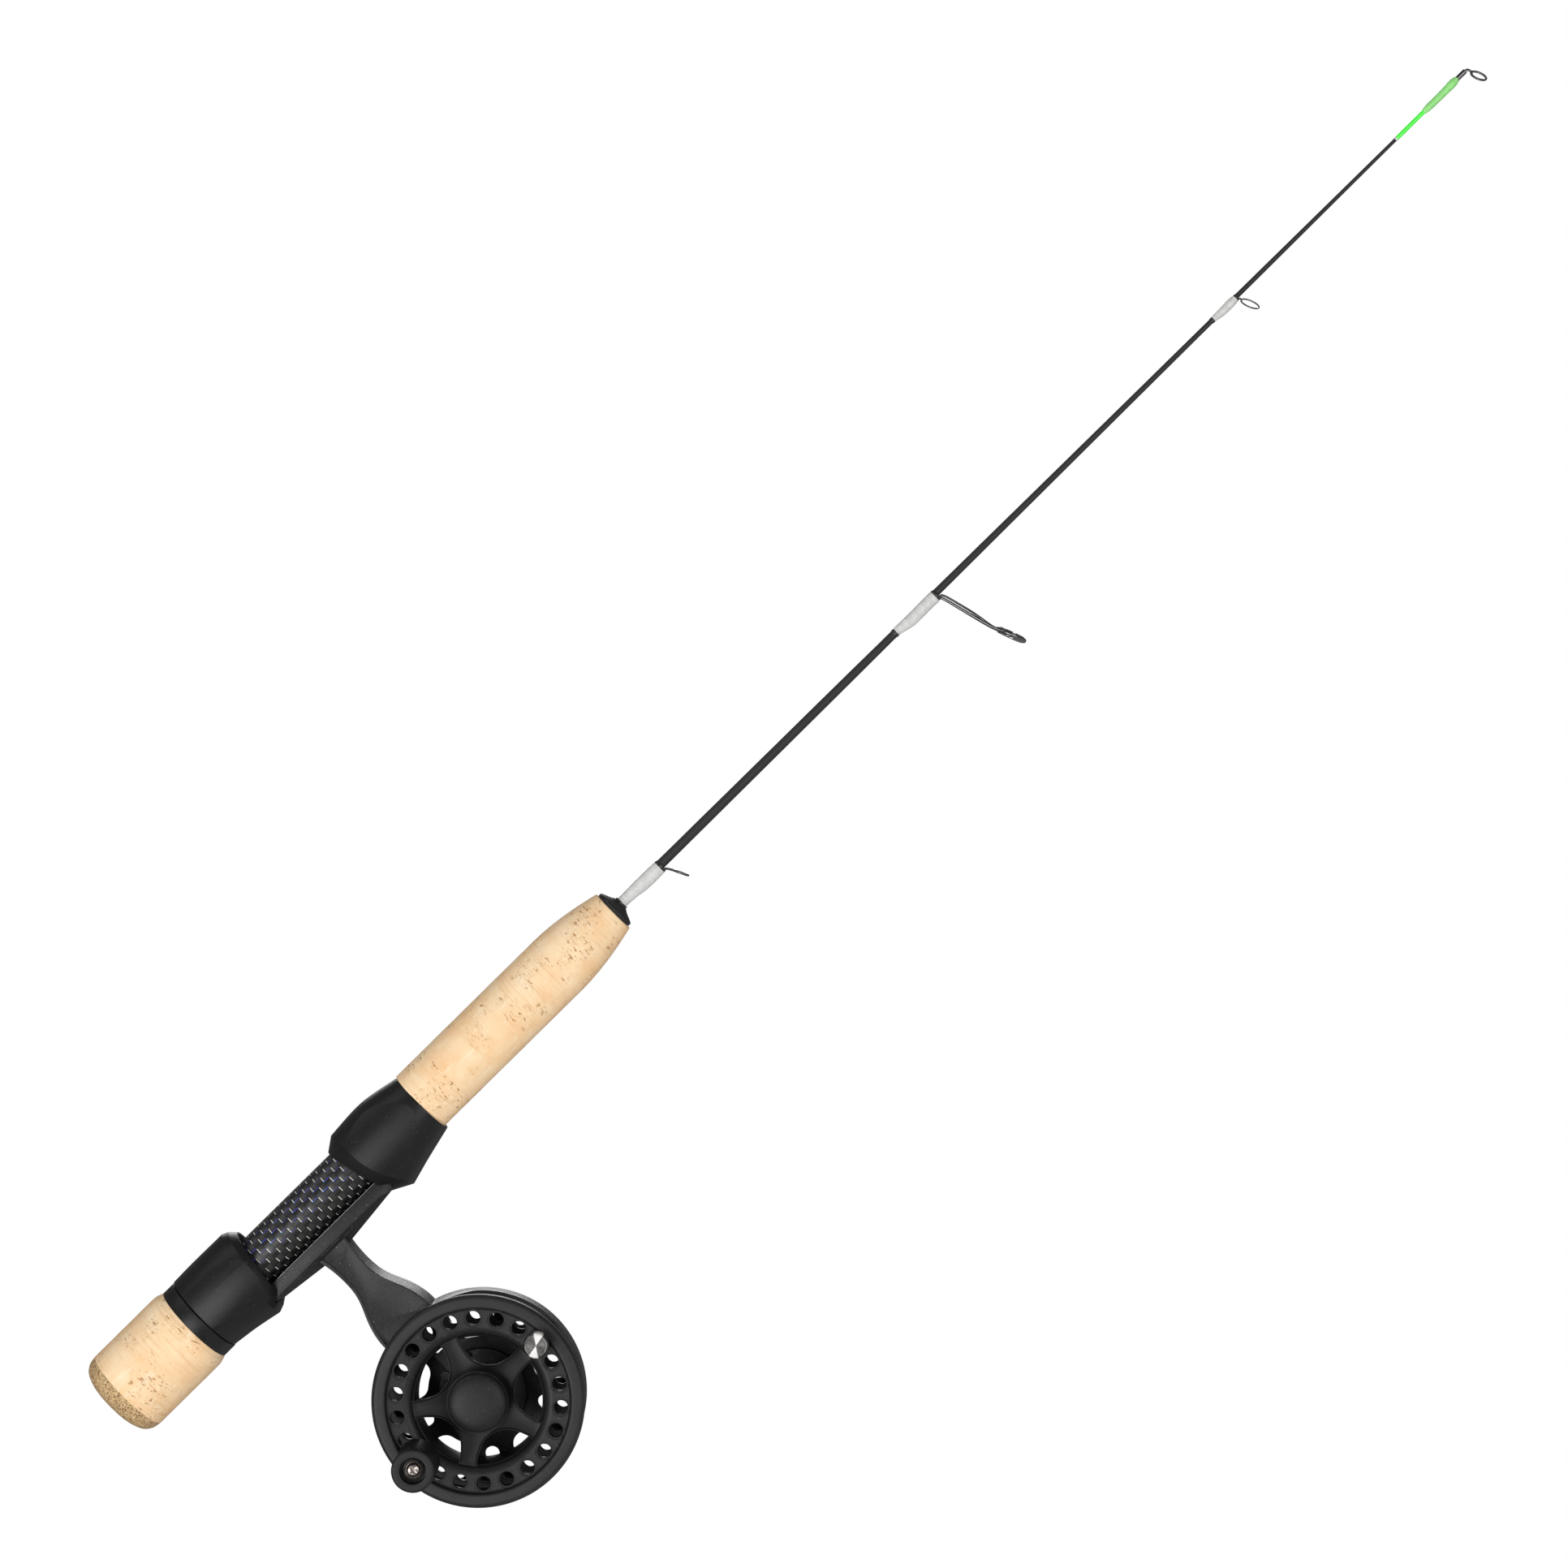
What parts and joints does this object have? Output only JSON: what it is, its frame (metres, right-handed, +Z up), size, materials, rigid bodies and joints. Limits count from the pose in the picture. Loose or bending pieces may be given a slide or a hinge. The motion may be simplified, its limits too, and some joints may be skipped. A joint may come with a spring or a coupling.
{
  "type": "fishing rod and reel",
  "caption": "Short one-piece ice-fishing rod with cork grips, a twist-lock reel seat, wire guides and an in-line reel with a crank knob on its spool.",
  "frame": {"origin": "on the rod axis, in the middle of the straight part of the fore grip", "axes": "+X along the rod to its tip, +Z up, the reel hangs at -Z with its spool axis along Y and its crank knob at -Y"},
  "size_m": [0.6083, 0.0596, 0.1292],
  "materials": {
    "carbon_weave": "woven carbon under clear gloss",
    "blank_gloss": "black gloss lacquer on solid glass fibre",
    "seat_black": "fine satin black nylon",
    "cork": "sanded natural cork",
    "burl_cork": "sanded cork and rubber granules",
    "ring_black": "satin black",
    "check_rubber": "moulded rubber",
    "nut_metal": "turned",
    "silver_thread": "nylon thread under clear epoxy",
    "black_thread": "nylon thread under clear epoxy",
    "green_thread": "nylon thread under clear epoxy",
    "green_tip": "bright green gloss",
    "white_band": "white gloss",
    "black_wire": "black chrome on steel wire",
    "ring_insert": "polished",
    "foam": "stiff foam bushing",
    "reel_black": "graphite composite, satin",
    "spool_black": "graphite composite, satin",
    "knob_black": "satin",
    "steel": "turned",
    "polished_steel": "faced and polished",
    "brass": "turned",
    "bronze": "oiled sintered bronze",
    "fibre": "pressed fibre washer"
  },
  "bodies": {
    "rod": {"rod_blank": "blank_gloss", "seat_tube": "carbon_weave", "blank_arbors": "foam", "front_hood": "seat_black", "fore_grip": "cork", "winding_check": "check_rubber", "hook_keeper": "black_wire", "keeper_wrap": "silver_thread", "keeper_trim": "black_thread", "stripper_frame": "black_wire", "stripper_ring": "ring_insert", "stripper_wrap": "silver_thread", "stripper_trim": "black_thread", "mid_guide": "black_wire", "mid_wrap": "silver_thread", "mid_trim": "black_thread", "tip_sleeve": "green_tip", "sleeve_band": "white_band", "tip_top_tube": "black_wire", "tip_top_ring": "black_wire", "tip_wrap": "green_thread", "reel_frame": "reel_black", "spindle": "steel", "spindle_nut": "steel", "rear_cover": "reel_black", "cover_screws": "steel", "click_guide": "knob_black", "click_spring": "steel", "guide_screws": "steel"},
    "rear_hood": {"rear_hood": "seat_black"},
    "rear_grip": {"rear_grip": "cork", "butt_cap": "burl_cork", "lock_ring": "ring_black", "grip_nut": "nut_metal"},
    "spool": {"spool_front_flange": "spool_black", "spool_arbor": "spool_black", "spool_rear_flange": "spool_black", "front_bush": "bronze", "rear_bush": "bronze", "click_gear": "brass", "drag_washer": "fibre", "counterweight": "polished_steel", "handle_post": "steel", "knob_screw": "steel"},
    "crank_knob": {"handle_knob": "knob_black", "knob_bush": "brass"},
    "tension_knob": {"tension_knob": "knob_black", "tension_insert": "brass", "tension_washers": "steel"},
    "click_plunger": {"click_plunger": "steel"}
  },
  "joints": [
    {"name": "rear_hood_slide", "type": "slide", "parent": "rod", "child": "rear_hood", "axis": [-1, 0, 0], "range_m": [0, 0.012]},
    {"name": "rear_grip_twist", "type": "hinge", "parent": "rear_hood", "child": "rear_grip", "pos_m": [-0.14325, 0, 0], "axis": [-1, 0, 0], "range_deg": [0, 1440]},
    {"name": "spool_spin", "type": "hinge", "parent": "rod", "child": "spool", "pos_m": [-0.08325, 0, -0.0804], "axis": [0, 1, 0], "continuous": true},
    {"name": "crank_knob_spin", "type": "hinge", "parent": "spool", "child": "crank_knob", "pos_m": [-0.10945, -0.025, -0.0804], "axis": [0, 1, 0], "continuous": true},
    {"name": "tension_knob_turn", "type": "hinge", "parent": "rod", "child": "tension_knob", "pos_m": [-0.08325, -0.016, -0.0804], "axis": [0, 1, 0], "range_deg": [-180, 180]},
    {"name": "click_plunger_lift", "type": "slide", "parent": "rod", "child": "click_plunger", "axis": [0, 0, 1], "range_m": [0, 0.0012], "stiffness_N_per_m": 150, "springref_m": -0.001, "deforming": ["click_spring"]}
  ],
  "couplings": [
    {"joint": "rear_hood_slide", "follows": "rear_grip_twist", "m_per_rad": 0.00047746}
  ]
}
